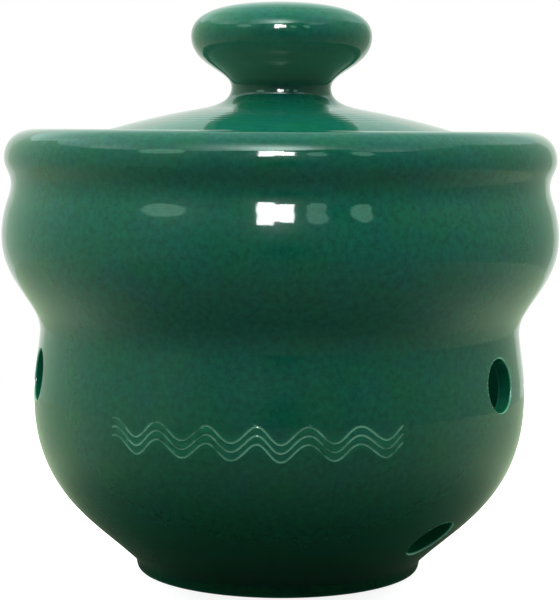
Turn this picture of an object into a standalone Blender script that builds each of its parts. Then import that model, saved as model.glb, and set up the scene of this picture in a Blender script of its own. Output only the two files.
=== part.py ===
"""Potato storage pot: a glazed stoneware pot with air vents, and its loose lid.

The pot is one turned wall of even thickness. From a small foot it swells to a belly, draws in at a waist,
swells again to an upper bulge, draws in to a groove and rolls over into a thick rim. Inside the rim a
gallery takes the lid. Round vents are bored square to the wall, one row above the belly and one row just
above the foot. The lid is a shallow dome with a mushroom knob, and its flat edge rests on the gallery.

Metres, +Z up. The foot stands on z = 0 with its centre at the origin, and the front faces -Y.
"""

import math

import bmesh
import bpy
from mathutils import Vector
from mathutils.geometry import interpolate_bezier

MM = 0.001

# Foot
FOOT_BASE_RADIUS = 61.5 * MM
FOOT_TOP_RADIUS = 62.9 * MM
FOOT_HEIGHT = 5.0 * MM
FOOT_EDGE_ROUND = 1.3 * MM
FOOT_RING_WIDTH = 8.5 * MM
FOOT_RECESS_DEPTH = 3.5 * MM
FOOT_RECESS_ROUND = 2.0 * MM

# Wall: the radius of each level ring, its rise over the ring below, and how early the wall swings
# towards it (0 is even, over 0 is early)
BELLY_RADIUS = 106.6 * MM
BELLY_RISE = 71.0 * MM
WAIST_RADIUS = 103.9 * MM
WAIST_RISE = 30.0 * MM
WAIST_LEAN = -0.23
BULGE_RADIUS = 120.0 * MM
BULGE_RISE = 39.3 * MM
BULGE_LEAN = 0.36
GROOVE_RADIUS = 115.8 * MM
GROOVE_RISE = 19.7 * MM
GROOVE_LEAN = -0.34
ROLL_RADIUS = 118.65 * MM
ROLL_RISE = 13.0 * MM
ROLL_LEAN = -0.12

# Lower wall: one curve that leaves the foot at an angle and arrives upright at the belly
LOWER_WALL_ANGLE = math.radians(48.0)
LOWER_WALL_LEAD = 23.0 * MM
BELLY_LEAD = 42.5 * MM

# Thickness and inside
WALL = 6.5 * MM
FLOOR = 8.0 * MM
INNER_CORNER_RISE = 8.0 * MM

# Rim and the gallery that the lid sits in
RIM_WIDTH = 14.0 * MM
RIM_HEIGHT = 12.5 * MM
RIM_FULLNESS = 0.62
RIM_EDGE_ROUND = 4.5 * MM
GALLERY_DEPTH = 12.2 * MM
GALLERY_DRAFT = math.radians(20.0)
GALLERY_CORNER_ROUND = 1.2 * MM
GALLERY_SEAT_WIDTH = 9.5 * MM
GALLERY_THICKNESS = 6.5 * MM
GALLERY_UNDERCUT = 16.0 * MM
MOUTH_EDGE_ROUND = 2.0 * MM

# Vents
VENT_RADIUS = 11.0 * MM
VENT_LIP_ROUND = 1.3 * MM
VENT_LIP_PROUD = 0.3 * MM
VENT_OVERCUT = 6.0 * MM
UPPER_VENT_OVER_BELLY = 11.4 * MM
UPPER_VENT_ANGLES = (59.0, 172.0, 285.0)
LOWER_VENT_OVER_FOOT = 18.4 * MM
LOWER_VENT_ANGLES = (49.0, 165.0, 282.0)

# Lid: its dome rises from the edge to the neck's base, where the neck sweeps up into the knob
LID_CLEARANCE = 1.8 * MM
LID_SEAT_GAP = 0.3 * MM
LID_EDGE_HEIGHT = 5.4 * MM
LID_EDGE_ROUND = 2.0 * MM
LID_THICKNESS = 6.0 * MM
LID_REST_WIDTH = 8.0 * MM
LID_REST_STEP = 3.0 * MM
DOME_RISE = 15.0 * MM
DOME_CROWN = 1.2 * MM
NECK_BASE_RADIUS = 38.8 * MM
NECK_BASE_LEAD = 8.0 * MM
NECK_RADIUS = 21.65 * MM
NECK_RISE = 10.0 * MM
NECK_LEAD = 7.5 * MM
KNOB_RADIUS = 39.1 * MM
KNOB_SIDE_RISE = 21.7 * MM
KNOB_NECK_LEAD = 7.1 * MM
KNOB_SIDE_LEAD = 12.9 * MM
KNOB_TOP_RISE = 14.5 * MM
KNOB_TOP_FULLNESS = 0.68

# Facets
TURNED_STEPS = 48
VENT_STEPS = 20


def at(radius, height):
    """A point of a turned outline."""
    return Vector((radius, height))


def bend(start, corner, end, steps, fullness=0.6):
    """A rounded corner. It leaves start towards the corner and reaches end coming from it."""
    return interpolate_bezier(start, start.lerp(corner, fullness), end.lerp(corner, fullness), end, steps)


def swing(low, high, lean, steps):
    """The wall from one level ring to the next, upright at both, without its first point."""
    points = []
    for i in range(1, steps + 1):
        rise = i / steps
        turn = rise + lean * rise * (1 - rise)
        share = turn * turn * (3 - 2 * turn)
        points.append(at(low.x + (high.x - low.x) * share, low.y + (high.y - low.y) * rise))
    return points


def crowned(start, end, crown, steps):
    """A straight slope that is raised by the crown in its middle."""
    across = (end - start).orthogonal().normalized()
    if across.y < 0:
        across.negate()
    points = []
    for i in range(steps + 1):
        share = i / steps
        points.append(start.lerp(end, share) + across * crown * 4 * share * (1 - share))
    return points


def parallel(points, distance):
    """The same curve moved to the left of its direction by the distance."""
    last = len(points) - 1
    moved = []
    for i, point in enumerate(points):
        along = (points[min(i + 1, last)] - points[max(i - 1, 0)]).normalized()
        moved.append(point + distance * Vector((-along.y, along.x)))
    return moved


def reach_level(point, before, height):
    """Where the line from before through point meets the height."""
    along = point - before
    return point + along * ((height - point.y) / along.y)


def crossing(points, axis, value):
    """Where a curve first passes a radius (axis 0) or a height (axis 1)."""
    after = next(i for i, point in enumerate(points) if point[axis] > value)
    low, high = points[after - 1], points[after]
    return low.lerp(high, (value - low[axis]) / (high[axis] - low[axis]))


def outer_wall():
    """The pot's outside from the top of the foot up to the rim's widest ring."""
    foot_top = at(FOOT_TOP_RADIUS, FOOT_HEIGHT)
    belly = at(BELLY_RADIUS, FOOT_HEIGHT + BELLY_RISE)
    leaving = LOWER_WALL_LEAD * Vector((math.cos(LOWER_WALL_ANGLE), math.sin(LOWER_WALL_ANGLE)))
    points = interpolate_bezier(foot_top, foot_top + leaving, belly - at(0, BELLY_LEAD), belly, 12)
    rings = (
        (WAIST_RADIUS, WAIST_RISE, WAIST_LEAN, 5),
        (BULGE_RADIUS, BULGE_RISE, BULGE_LEAN, 8),
        (GROOVE_RADIUS, GROOVE_RISE, GROOVE_LEAN, 5),
        (ROLL_RADIUS, ROLL_RISE, ROLL_LEAN, 4),
    )
    for radius, rise, lean, steps in rings:
        ring = at(radius, points[-1].y + rise)
        points += swing(points[-1], ring, lean, steps)
    return points


def gallery():
    """The lid's seat: its height, its outer radius and the radius of the mouth inside it."""
    crest_height = outer_wall()[-1].y + RIM_HEIGHT
    rim_corner = ROLL_RADIUS - RIM_WIDTH - RIM_EDGE_ROUND
    seat_radius = rim_corner - GALLERY_DEPTH * math.tan(GALLERY_DRAFT)
    return crest_height - GALLERY_DEPTH, seat_radius, seat_radius - GALLERY_SEAT_WIDTH


def pot_inside(wall):
    """The inside from the middle of the floor up the wall to the gallery's lower edge."""
    floor_height = FOOT_RECESS_DEPTH + FLOOR
    seat_height, _, mouth_radius = gallery()
    ledge_height = seat_height - GALLERY_THICKNESS
    inner = parallel(wall, WALL)
    lowest = crossing(inner, 1, floor_height + INNER_CORNER_RISE)
    highest = crossing(inner, 1, ledge_height - GALLERY_UNDERCUT)
    inner = [lowest] + [point for point in inner[::2] if lowest.y < point.y < highest.y] + [highest]

    corner = reach_level(inner[0], inner[1], floor_height)
    floor_edge = corner - at((inner[0] - corner).length, 0)
    points = [at(0, floor_height)] + bend(floor_edge, corner, inner[0], 5) + inner[1:]

    under_corner = reach_level(inner[-1], inner[-2], ledge_height)
    ledge_edge = at(mouth_radius + MOUTH_EDGE_ROUND, ledge_height)
    return points + bend(inner[-1], under_corner, ledge_edge, 7)[1:]


def pot_rim(roll):
    """The mouth's edge, the gallery and the rolled rim, up to the rim's widest ring."""
    seat_height, seat_radius, mouth_radius = gallery()
    ledge_height = seat_height - GALLERY_THICKNESS
    crest_height = seat_height + GALLERY_DEPTH
    crest = at(roll.x - RIM_WIDTH, crest_height)
    rim_corner = at(crest.x - RIM_EDGE_ROUND, crest_height)
    seat_corner = at(seat_radius, seat_height)
    up_the_gallery = (rim_corner - seat_corner).normalized()

    low_edge = at(mouth_radius, ledge_height)
    high_edge = at(mouth_radius, seat_height)
    edge = at(0, MOUTH_EDGE_ROUND)
    inward = at(MOUTH_EDGE_ROUND, 0)
    points = bend(low_edge + inward, low_edge, low_edge + edge, 4)[1:]
    points += bend(high_edge - edge, high_edge, high_edge + inward, 4)
    points += bend(seat_corner - at(GALLERY_CORNER_ROUND, 0), seat_corner,
                   seat_corner + GALLERY_CORNER_ROUND * up_the_gallery, 3)
    points += bend(rim_corner - RIM_EDGE_ROUND * up_the_gallery, rim_corner, crest, 5)
    points += bend(crest, at(roll.x, crest_height), roll, 7, RIM_FULLNESS)[1:]
    return points


def pot_foot():
    """The foot ring and the recess inside it, from the ring's outer side to the middle."""
    base = at(FOOT_BASE_RADIUS, 0)
    up_the_side = (at(FOOT_TOP_RADIUS, FOOT_HEIGHT) - base).normalized()
    ring_inside = at(FOOT_BASE_RADIUS - FOOT_RING_WIDTH, 0)
    recess_corner = at(ring_inside.x - FOOT_RECESS_ROUND, FOOT_RECESS_DEPTH)
    points = bend(base + FOOT_EDGE_ROUND * up_the_side, base, base - at(FOOT_EDGE_ROUND, 0), 3)
    points += bend(ring_inside + at(FOOT_EDGE_ROUND, 0), ring_inside, recess_corner.lerp(ring_inside, 0.5), 3)
    points += bend(recess_corner.lerp(ring_inside, 0.5), recess_corner,
                   recess_corner - at(FOOT_RECESS_ROUND, 0), 3)[1:]
    return points + [at(0, FOOT_RECESS_DEPTH)]


def pot_outline():
    """The pot's section: up the inside, over the rim, down the outside and in under the foot."""
    wall = outer_wall()
    return pot_inside(wall) + pot_rim(wall[-1]) + wall[-2::-1] + pot_foot()


def lid_outline():
    """The lid's section from the top of the knob down to the middle of its underside.

    Height 0 is the flat face that rests on the gallery.
    """
    lid_radius = gallery()[1] - LID_CLEARANCE
    edge_top = at(lid_radius, LID_EDGE_HEIGHT)
    neck_base = at(NECK_BASE_RADIUS, LID_EDGE_HEIGHT + DOME_RISE)
    neck = at(NECK_RADIUS, neck_base.y + NECK_RISE)
    knob_side = at(KNOB_RADIUS, neck.y + KNOB_SIDE_RISE)
    knob_top = at(0, knob_side.y + KNOB_TOP_RISE)
    dome = crowned(neck_base, edge_top, DOME_CROWN, 8)
    up_the_dome = (dome[0] - dome[1]).normalized()
    down_the_dome = (dome[-1] - dome[-2]).normalized()

    points = bend(knob_top, at(knob_side.x, knob_top.y), knob_side, 8, KNOB_TOP_FULLNESS)
    points += interpolate_bezier(knob_side, knob_side - at(0, KNOB_SIDE_LEAD),
                                 neck + at(0, KNOB_NECK_LEAD), neck, 9)[1:]
    points += interpolate_bezier(neck, neck - at(0, NECK_LEAD),
                                 neck_base + NECK_BASE_LEAD * up_the_dome, neck_base, 7)[1:]
    points += dome[1:-1]
    points += bend(edge_top - LID_EDGE_ROUND * down_the_dome, edge_top, edge_top - at(0, LID_EDGE_ROUND), 4)
    points += bend(at(lid_radius, LID_EDGE_ROUND), at(lid_radius, 0), at(lid_radius - LID_EDGE_ROUND, 0), 4)
    return points + lid_underside(dome, lid_radius)


def lid_underside(dome, lid_radius):
    """From the inner edge of the flat resting face, up a small step, to the middle."""
    rest_edge = at(lid_radius - LID_REST_WIDTH, 0)
    hollow = parallel(dome, -LID_THICKNESS)
    widest = crossing(hollow, 0, rest_edge.x - LID_REST_STEP)
    points = bend(rest_edge, at(rest_edge.x, widest.y), widest, 4)
    points += [point for point in reversed(hollow) if point.x < widest.x]
    half_way = points[-1].x / 2
    slope = (points[-1].y - points[-2].y) / (points[-2].x - points[-1].x)
    corner = at(half_way, points[-1].y + slope * half_way)
    return points + bend(points[-1], corner, at(0, corner.y), 5)[1:]


def wall_point(wall, height):
    """The outer wall's point at a height, and the direction out of the wall there."""
    point = crossing(wall, 1, height)
    high = next(ring for ring in wall if ring.y > height)
    return point, at(high.y - point.y, point.x - high.x).normalized()


def wall_bend(wall, point, outward):
    """How the wall leaves its tangent plane at a point: per square metre round the pot, and up the slope."""
    round_the_pot = -outward.x / (2 * point.x)
    up_the_slope = 0.0
    for side in (-1, 1):
        step = wall_point(wall, point.y + side * VENT_RADIUS * outward.x)[0] - point
        up_the_slope += step.dot(outward) / step.length_squared / 2
    return round_the_pot, up_the_slope


def vent_outline():
    """A vent cutter's section about the vent's axis, with the wall's outer face at height 0.

    Its lips start a little proud of both faces, so they meet the wall at a clear angle, and its ends stand
    well clear of the wall, so it cuts right through one that bends more.
    """
    flare = VENT_RADIUS + VENT_LIP_ROUND
    widest = flare + VENT_LIP_ROUND
    past = VENT_LIP_PROUD + VENT_LIP_ROUND
    end = past + VENT_OVERCUT
    outer_lip = bend(at(flare, VENT_LIP_PROUD), at(VENT_RADIUS, VENT_LIP_PROUD),
                     at(VENT_RADIUS, VENT_LIP_PROUD - VENT_LIP_ROUND), 4)
    inner_lip = [at(point.x, -WALL - point.y) for point in reversed(outer_lip)]
    return [at(widest, end), at(widest, past), *outer_lip, *inner_lip,
            at(widest, -WALL - past), at(widest, -WALL - end)]


def clear_scene():
    for old in list(bpy.data.objects):
        bpy.data.objects.remove(old, do_unlink=True)


def glaze(name, colour, roughness):
    """A glossy fired glaze in a linear colour."""
    material = bpy.data.materials.new(name)
    material.use_nodes = True
    shader = material.node_tree.nodes["Principled BSDF"]
    shader.inputs["Base Color"].default_value = (*colour, 1.0)
    shader.inputs["Roughness"].default_value = roughness
    shader.inputs["Metallic"].default_value = 0.0
    return material


def turned(name, outline, steps):
    """An object whose outline is turned once about its own Z axis."""
    mesh = bpy.data.meshes.new(name)
    edges = [(i, i + 1) for i in range(len(outline) - 1)]
    mesh.from_pydata([(point.x, 0.0, point.y) for point in outline], edges, [])
    piece = bpy.data.objects.new(name, mesh)
    bpy.context.scene.collection.objects.link(piece)
    screw = piece.modifiers.new("Turning", "SCREW")
    screw.axis = "Z"
    screw.steps = steps
    screw.render_steps = steps
    screw.use_merge_vertices = True
    screw.merge_threshold = 0.00001
    screw.use_smooth_shade = True
    return piece


def vent_cutter(name, wall, height, angle):
    """A closed cutter for one vent. Each ring of it follows the wall, so the lip is even all round."""
    point, outward = wall_point(wall, height)
    round_the_pot, up_the_slope = wall_bend(wall, point, outward)
    cutter = bpy.data.objects.new(name, bpy.data.meshes.new(name))
    shape = bmesh.new()
    rings = []
    for section in vent_outline():
        ring = []
        for i in range(VENT_STEPS):
            turn = math.tau * i / VENT_STEPS
            x, y = section.x * math.cos(turn), section.x * math.sin(turn)
            ring.append(shape.verts.new((x, y, section.y + round_the_pot * x * x + up_the_slope * y * y)))
        rings.append(ring)
    for upper, lower in zip(rings, rings[1:]):
        for i in range(VENT_STEPS):
            after = (i + 1) % VENT_STEPS
            shape.faces.new((lower[i], lower[after], upper[after], upper[i]))
    shape.faces.new(rings[0])
    shape.faces.new(reversed(rings[-1]))
    shape.to_mesh(cutter.data)
    shape.free()

    side, front = math.sin(angle), -math.cos(angle)
    direction = Vector((outward.x * side, outward.x * front, outward.y))
    cutter.location = (point.x * side, point.x * front, point.y)
    cutter.rotation_mode = "QUATERNION"
    cutter.rotation_quaternion = direction.to_track_quat("Z", "Y")
    cutter.hide_render = True
    cutter.display_type = "WIRE"
    bpy.context.scene.collection.objects.link(cutter)
    return cutter


def make_pot():
    wall = outer_wall()
    pot = turned("pot_body", pot_outline(), TURNED_STEPS)
    pot.data.materials.append(glaze("pot_glaze", (0.012, 0.085, 0.055), 0.12))
    rows = (
        ("upper_vent_cutter", FOOT_HEIGHT + BELLY_RISE + UPPER_VENT_OVER_BELLY, UPPER_VENT_ANGLES),
        ("lower_vent_cutter", FOOT_HEIGHT + LOWER_VENT_OVER_FOOT, LOWER_VENT_ANGLES),
    )
    for row, height, angles in rows:
        for i, angle in enumerate(angles, start=1):
            cut = pot.modifiers.new(f"{row}_{i}", "BOOLEAN")
            cut.operation = "DIFFERENCE"
            cut.solver = "EXACT"
            cut.object = vent_cutter(f"{row}_{i}", wall, height, math.radians(angle))
    return pot


def make_lid():
    lid = turned("lid", lid_outline(), TURNED_STEPS)
    lid.location = (0.0, 0.0, gallery()[0] + LID_SEAT_GAP)
    lid.data.materials.append(glaze("lid_glaze", (0.014, 0.095, 0.062), 0.12))
    return lid


def main():
    clear_scene()
    make_pot()
    make_lid()


main()
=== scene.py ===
"""Potato storage pot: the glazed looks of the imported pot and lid, on a pale studio floor.

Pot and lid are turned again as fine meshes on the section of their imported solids. The pot then gets its vents,
with softened lips, and three combed waves on the belly. The glaze pulls thin over edges and pools in hollows,
so each vertex holds how deep the glaze lies there. Foot, gallery and the lid's resting face are bare clay.

Metres, +Z up. The front of the pot faces -Y.
"""

import math
from functools import partial

import bmesh
import bpy
import numpy as np
from bpy.props import FloatProperty, FloatVectorProperty, IntProperty, PointerProperty
from mathutils import Matrix, Vector
from mathutils.geometry import interpolate_bezier


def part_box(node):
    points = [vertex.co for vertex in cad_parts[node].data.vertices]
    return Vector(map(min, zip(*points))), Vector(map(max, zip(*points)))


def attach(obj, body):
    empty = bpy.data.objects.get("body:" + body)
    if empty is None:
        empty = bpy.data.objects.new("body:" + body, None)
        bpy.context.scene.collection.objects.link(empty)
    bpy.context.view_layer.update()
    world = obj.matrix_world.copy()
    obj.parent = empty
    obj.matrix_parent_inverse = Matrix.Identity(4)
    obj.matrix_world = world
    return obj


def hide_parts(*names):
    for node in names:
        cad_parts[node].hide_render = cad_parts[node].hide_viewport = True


bl_info = {
    "name": "Potato Storage Pot",
    "version": (1, 0, 0),
    "blender": (4, 5, 0),
    "location": "3D View > Sidebar > Storage Pot",
    "description": "Turns, glazes and lights a vented stoneware storage pot and its lid",
    "category": "Object",
}

MM = 0.001

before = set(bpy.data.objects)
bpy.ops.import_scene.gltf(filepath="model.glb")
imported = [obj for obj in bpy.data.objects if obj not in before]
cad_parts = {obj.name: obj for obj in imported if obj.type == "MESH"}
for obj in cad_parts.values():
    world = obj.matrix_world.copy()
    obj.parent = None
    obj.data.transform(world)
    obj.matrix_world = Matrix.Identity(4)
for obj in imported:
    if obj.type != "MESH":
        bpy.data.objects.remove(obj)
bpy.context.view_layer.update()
LID_REST_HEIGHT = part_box("lid")[0].z

# How near a packed point lies to the plane of the section, how close the points of the curve through it lie, and
# the smallest gap between two rows
SECTION_TOLERANCE = 0.01 * MM
CURVE_STEP = 0.1 * MM
SMALLEST_STEP = 0.25 * MM
# The turn after which a new row starts in a bend
ROW_TURN = math.radians(7.0)
MERGE_DISTANCE = 0.01 * MM
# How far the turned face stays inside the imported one's highest and widest point
WITHIN = 0.002 * MM
SHARP_ANGLE = math.radians(26.0)
# A turned piece has no dents on its axis and all of them from this radius on. The other radius is beyond the pot.
ROUND_WITHIN = 20 * MM
BEYOND = 200 * MM
POT_SEED, LID_SEED, COMB_SEED = 1.7, 6.1, 3.0
VENT_LABELS = ("First Vent", "Second Vent", "Third Vent")
# Rows in the rounding of a vent's edge, and how far the handles of its curve reach, as a share of the rounding
LIP_ROWS = 9
LIP_HANDLE = 0.6
# Points along a groove and facets of a comb's tooth. The comb is pressed less near the ends of its stroke: how
# steeply the pressure rises from there, and its least share.
COMB_POINTS = 260
TOOTH_FACETS = 10
PRESSURE_RISE, LEAST_PRESSURE = 24.0, 0.35

# Depth of the glaze: a curvature, in 1/m, at which it starts to change, and one at which it is all changed. The next
# pair is for edges so tight that they are painted pale, as clay showing through and as a painted highlight, and
# slivers count as no more than the last value.
GLAZE_BENDS = (30.0, 330.0)
TIGHT_BENDS = (550.0, 900.0)
LARGEST_BEND = 1000.0
GLAZE_SOFTENING = 3

# Bare clay: how thick a slice of a resting face it takes, and how level the face is
BARE_SLICE = 0.7 * MM
LEVEL = 0.9

# Widths of the glaze's pattern: clouds, the mottling in them, dark specks and ripples. Then those of the bare clay,
# grains of grog, drawn coarser than they are so that they show, and stains.
CLOUD_SIZE = 16 * MM
MOTTLE_SIZE = 2.3 * MM
SPECK_SIZE = 0.8 * MM
RIPPLE_SIZE = 7 * MM
GROG_SIZE = 0.6 * MM
STAIN_SIZE = 11 * MM
# How high the mottling and the grains stand
MOTTLE_RELIEF = 0.004 * MM
GROG_RELIEF = 0.08 * MM

# Kinds of nodes that come often
MATHS = "ShaderNodeMath"
VECTOR_MATHS = "ShaderNodeVectorMath"
MAP_RANGE = "ShaderNodeMapRange"
MIX = "ShaderNodeMix"
NOISE = "ShaderNodeTexNoise"
ATTRIBUTE = "ShaderNodeAttribute"
SEPARATE = "ShaderNodeSeparateXYZ"
COMBINE = "ShaderNodeCombineXYZ"

# The room as the pot mirrors it, by azimuth in degrees from the camera round to the right: the colour of its walls,
# the elevation in degrees at which its bright ceiling starts, and the ceiling's radiance
ROOM_WALLS = (
    (-180, "#F7FDF7"), (-165, "#F6FFF4"), (-151, "#F4FFF0"), (-149, "#D8EDD4"), (-130, "#D0E8CA"), (-110, "#C5D9C1"),
    (-90, "#ADBAAB"), (-70, "#A2A9A1"), (-50, "#939793"), (-28, "#696B69"), (30, "#5D605D"), (50, "#737673"),
    (70, "#818780"), (90, "#99A597"), (110, "#A4B4A0"), (130, "#B2C7AD"), (149, "#BCD2B8"), (151, "#F0FFEC"),
    (165, "#F3FFF2"), (180, "#F7FDF7"),
)
CEILING_EDGE = (
    (-180, 16), (-165, 20), (-142, 21.5), (-130, 33), (-118, 29), (-83, 31), (-50, 34), (-22, 40), (0, 42), (24, 47),
    (32, 46), (40, 36), (56, 35), (80, 40), (107, 45), (130, 30), (145, 20), (160, 17), (180, 16),
)
CEILING_LIGHT = (
    (-180, 0.9), (-168, 0.95), (-155, 0.95), (-130, 0.85), (-90, 0.82), (-50, 0.75), (-20, 0.55), (20, 0.5),
    (50, 0.7), (90, 0.7), (130, 0.85), (152, 0.8), (165, 0.85), (180, 0.9),
)
# How dim the ceiling is straight above, where its light has fallen, and how soft its edge is, in degrees
CEILING_TOP = 0.45
EDGE_SOFTNESS = 1.5
# The least light that the ceiling sends, also where a dark patch lies on it
CEILING_LEAST = 0.02
# Soft bright or dark patches of the ceiling and of the walls: azimuth, elevation, spread and radiance
CEILING_GLOWS = (
    (0, 50, 11, 7.0), (-15, 52, 17, 2.6), (-85, 35, 12, 0.9), (-115, 42, 14, 0.4), (-130, 34, 10, 0.4),
    (-148, 20, 12, 0.6), (133, 33, 14, 0.3), (52, 38, 10, 0.6), (180, 45, 20, -0.25),
)
WALL_GLOWS = (
    (-2, 24, 7, 0.8), (-2, 27, 20, 0.2), (-45, 30, 14, 0.25), (75, 32, 16, 0.1), (2, 0, 10, -0.13), (24, 32, 7, -0.1),
)
GLOW_TINT = (0.92, 1.16, 1.08)
# The window's panes, which the glaze mirrors, and the lamps that light its colour: azimuth, elevation, width and
# height in degrees, then radiance. Windows farther off mirror as faint green ovals.
LAMP_DISTANCE = 1.6
LAMP_TARGET = Vector((0.0, 0.0, 0.16))
WINDOW_PANES = ((-5.8, 30.5, 5.8, 17.5, 24), (-1.3, 32, 3.8, 14, 24), (3.0, 30.6, 5.2, 12, 24))
FAINT_PANES = ((-51, 31, 18, 14, 1.5), (15, 28.8, 8, 13, 1.5), (34, 30, 8, 14, 1.5))
FAINT_TINT = (0.5, 1.0, 0.74)
LAMPS = ((-1, 36, 45, 40, 0.79), (-122, 36, 70, 70, 2.15), (124, 40, 70, 70, 1.7), (0, 89, 80, 80, 1.75))
# A lamp reads the depth of a ray as 2 where the glaze mirrors it, and as more in a reflection of that reflection
FIRST_MIRROR_DEPTH = 2.5
# The table: its facets, how far it lies under the foot, and between which radii the glaze mirrors it out of the shade
TABLE_FACETS = 96
TABLE_GAP = 0.05 * MM
SHADE_RADII = (70 * MM, 210 * MM)
# Width of the camera's sensor, in mm
SENSOR_WIDTH = 36.0


def linear(hex_colour):
    """The linear colour that an sRGB hex value such as "#0D4F3F" stands for."""
    levels = [int(hex_colour[i:i + 2], 16) / 255 for i in (1, 3, 5)]
    return [v / 12.92 if v <= 0.04045 else ((v + 0.055) / 1.055) ** 2.4 for v in levels]


def add_node(tree, kind, inputs=(), **settings):
    """A new node. Its inputs come in order or by name, each a value, a socket, or a node for its first output."""
    node = tree.nodes.new(kind)
    for name, value in settings.items():
        setattr(node, name, value)
    for name, value in inputs.items() if isinstance(inputs, dict) else enumerate(inputs):
        if isinstance(value, bpy.types.Node):
            value = value.outputs[0]
        if isinstance(value, bpy.types.NodeSocket):
            tree.links.new(value, node.inputs[name])
        else:
            node.inputs[name].default_value = value
    return node


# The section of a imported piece


def packed_section(name):
    """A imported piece's half section as (radius, height) points, from its highest end at the axis to its lowest."""
    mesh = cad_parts[name].data
    keys = {}
    for vertex in mesh.vertices:
        if abs(vertex.co.y) < SECTION_TOLERANCE and vertex.co.x > -SECTION_TOLERANCE:
            keys[vertex.index] = (round(max(vertex.co.x, 0.0), 6), round(vertex.co.z, 6))
    beside = {key: set() for key in keys.values()}
    for edge in mesh.edges:
        ends = [keys.get(i) for i in edge.vertices]
        if None not in ends and ends[0] != ends[1]:
            beside[ends[0]].add(ends[1])
            beside[ends[1]].add(ends[0])
    section = [max((key for key in beside if len(beside[key]) == 1), key=lambda key: key[1])]
    while onward := beside[section[-1]].difference(section):
        section.append(onward.pop())
    if len(section) != len(beside):
        raise RuntimeError(f"the section of {name} isn't one line from end to end")
    on_axis = [[(0.0, height)] if radius else [] for radius, height in (section[0], section[-1])]
    return np.array(on_axis[0] + section + on_axis[1])


def smooth_curve(section):
    """A close row of points on a centripetal Catmull-Rom curve through the section, level at the axis."""
    mirrored = section * (-1, 1)
    points = np.vstack((mirrored[1], section, mirrored[-2]))
    curve = []
    for p0, p1, p2, p3 in zip(points, points[1:], points[2:], points[3:]):
        a, b, c = (max(np.hypot(*gap), MERGE_DISTANCE) ** 0.5 for gap in (p1 - p0, p2 - p1, p3 - p2))
        leave = ((p1 - p0) / a - (p2 - p0) / (a + b) + (p2 - p1) / b) * b
        arrive = ((p2 - p1) / b - (p3 - p1) / (b + c) + (p3 - p2) / c) * b
        count = max(2, math.ceil(np.hypot(*(p2 - p1)) / CURVE_STEP))
        t = np.arange(count)[:, None] / count
        curve.append((2 * t**3 - 3 * t**2 + 1) * p1 + (t**3 - 2 * t**2 + t) * leave
                     + (3 * t**2 - 2 * t**3) * p2 + (t**3 - t**2) * arrive)
    low, high = section.min(0), section.max(0)
    return np.vstack((*curve, section[-1])).clip(low, high - WITHIN)


def ease(low, high, value):
    """A smooth step from 0 to 1 between two values."""
    share = np.clip((value - low) / (high - low), 0, 1)
    return share * share * (3 - 2 * share)


def raise_waist(curve, pot):
    """Moves the outer face under the rim up a little, so that the bulge starts higher."""
    heights = curve[:, 1]
    bottom, full, end, top = pot.waist_range
    outer = np.arange(len(curve)) > heights.argmax()
    curve[:, 1] += outer * pot.waist_lift * ease(bottom, full, heights) * (1 - ease(end, top, heights))


def spaced_rows(curve, turning_point, before, after):
    """The rows of a turned mesh: at most a step apart, and closer where the curve bends.

    The longest step is one value before the turning point on the curve and another after it.
    """
    along = np.diff(curve, axis=0)
    lengths = np.hypot(*along.T)
    headings = np.unwrap(np.arctan2(along[:, 1], along[:, 0]))
    rows = [curve[0]]
    last, gone = 0, 0.0
    for i, length in enumerate(lengths):
        gone += length
        longest = before if i < turning_point else after
        turned = abs(headings[i] - headings[last])
        if gone >= longest or (turned >= ROW_TURN and gone >= SMALLEST_STEP):
            rows.append(curve[i + 1])
            last, gone = i, 0.0
    rows[-1] = curve[-1]
    rows = np.array(rows)
    rows[0, 0] = 0.0
    rows[-1, 0] = 0.0
    return rows


def guide(name, points):
    """An object that holds points for a node tree to read."""
    mesh = bpy.data.meshes.new(name)
    mesh.from_pydata([tuple(point) for point in points], [], [])
    return link(name, mesh)


def link(name, data):
    """A new object in the scene for a mesh, a lamp or a camera."""
    piece = bpy.data.objects.new(name, data)
    bpy.context.scene.collection.objects.link(piece)
    return piece


# Node trees


def new_tree(name, inputs):
    """An empty geometry tree with named inputs. Returns the tree and its input's sockets by name."""
    tree = bpy.data.node_groups.new(name, "GeometryNodeTree")
    tree.interface.new_socket("Geometry", in_out="OUTPUT", socket_type="NodeSocketGeometry")
    for label, kind in inputs:
        tree.interface.new_socket(label, in_out="INPUT", socket_type=f"NodeSocket{kind}")
    group = add_node(tree, "NodeGroupInput")
    return tree, {label: group.outputs[label] for label, _ in inputs}


def finish_tree(tree, geometry, material):
    """Ends a tree: instances are made real and the material is set."""
    real = add_node(tree, "GeometryNodeRealizeInstances", {"Geometry": geometry})
    dressed = add_node(tree, "GeometryNodeSetMaterial", {"Geometry": real, "Material": material})
    add_node(tree, "NodeGroupOutput", {"Geometry": dressed})


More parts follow.
